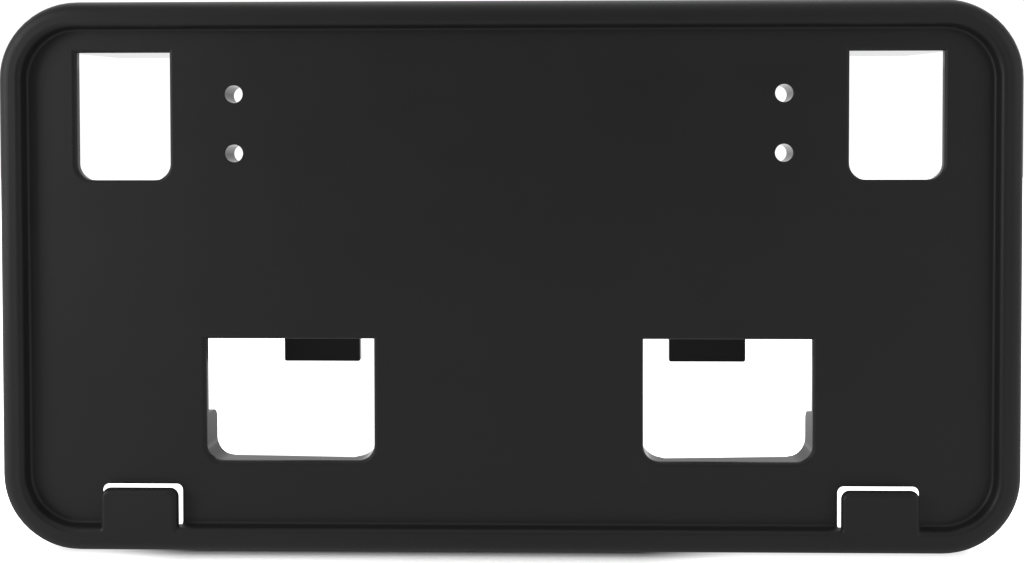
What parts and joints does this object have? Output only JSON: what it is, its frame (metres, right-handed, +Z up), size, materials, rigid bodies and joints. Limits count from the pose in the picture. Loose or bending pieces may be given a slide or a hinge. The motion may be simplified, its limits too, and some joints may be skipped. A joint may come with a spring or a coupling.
{
  "type": "number plate holder",
  "caption": "Moulded plastic holder that frames a number plate on a car's bumper, with windows, screw holes, lower tongues and rear hooks.",
  "frame": {"origin": "centre of the plate's seat, on the panel's front face", "axes": "+X along the holder's width, to the right as seen from the front; +Z up; the front faces -Y"},
  "size_m": [0.3302, 0.0439, 0.1788],
  "materials": {
    "plate_holder": "black moulded plastic with a very fine grain and a faint sheen"
  },
  "bodies": {
    "root": {"plate_holder": "plate_holder"}
  },
  "joints": []
}
